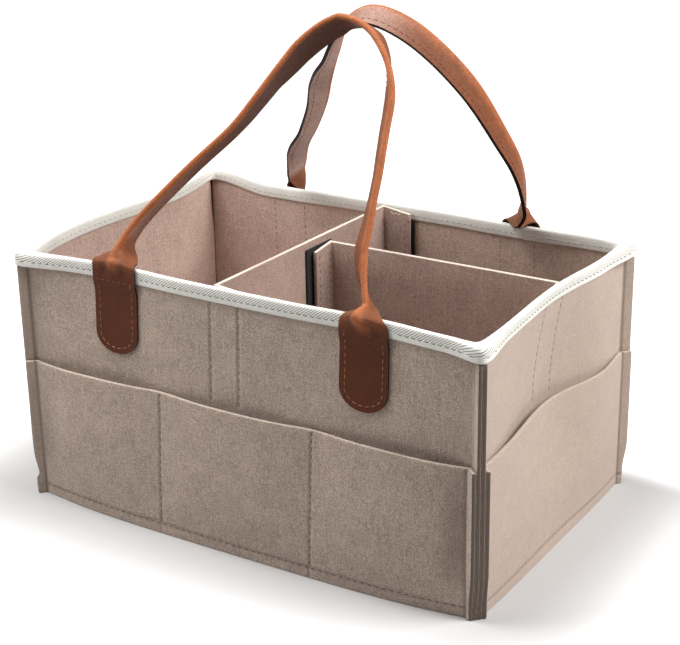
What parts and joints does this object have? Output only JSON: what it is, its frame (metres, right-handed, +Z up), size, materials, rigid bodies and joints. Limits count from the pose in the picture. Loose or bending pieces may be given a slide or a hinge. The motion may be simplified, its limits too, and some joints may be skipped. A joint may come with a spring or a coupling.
{
  "type": "felt storage caddy",
  "caption": "Open rectangular caddy of sewn felt with outside pockets, a bound rim, folded leather handles that swing outwards and lift-out felt dividers.",
  "frame": {"origin": "middle of the bounding box at the floor", "axes": "+X along the long side to the right, -Y to the front, +Z up"},
  "size_m": [0.3714, 0.2442, 0.3486],
  "materials": {
    "felt": "matte wool-blend felt",
    "tape": "woven herringbone tape",
    "leather": "smooth waxed leather",
    "hook_and_loop": "black hook-and-loop tape"
  },
  "bodies": {
    "caddy_body": {"front_wall": "felt", "right_wall": "felt", "rear_wall": "felt", "left_wall": "felt", "front_pocket_panel": "felt", "right_pocket_panel": "felt", "rear_pocket_panel": "felt", "left_pocket_panel": "felt", "base_panel": "felt", "rim_binding": "tape", "front_left_tab": "leather", "front_right_tab": "leather", "rear_left_tab": "leather", "rear_right_tab": "leather", "front_loop_strip": "hook_and_loop", "rear_loop_strip": "hook_and_loop", "right_loop_strip": "hook_and_loop"},
    "front_handle": {"front_handle_strap": "leather"},
    "rear_handle": {"rear_handle_strap": "leather"},
    "cross_divider_body": {"cross_divider": "felt", "divider_loop_strip": "hook_and_loop", "cross_front_hook_strip": "hook_and_loop", "cross_rear_hook_strip": "hook_and_loop"},
    "long_divider_body": {"long_divider": "felt", "long_left_hook_strip": "hook_and_loop", "long_right_hook_strip": "hook_and_loop"}
  },
  "joints": [
    {"name": "front_handle_swing", "type": "hinge", "parent": "caddy_body", "child": "front_handle", "pos_m": [-0.00035, -0.10674, 0.182], "axis": [1, 0, 0], "range_deg": [0, 150]},
    {"name": "rear_handle_swing", "type": "hinge", "parent": "caddy_body", "child": "rear_handle", "pos_m": [-0.00035, 0.10973, 0.182], "axis": [-1, 0, 0], "range_deg": [0, 150]},
    {"name": "cross_divider_lift", "type": "slide", "parent": "caddy_body", "child": "cross_divider_body", "axis": [0, 0, 1], "range_m": [0, 0.09]},
    {"name": "long_divider_lift", "type": "slide", "parent": "caddy_body", "child": "long_divider_body", "axis": [0, 0, 1], "range_m": [0, 0.09]}
  ]
}
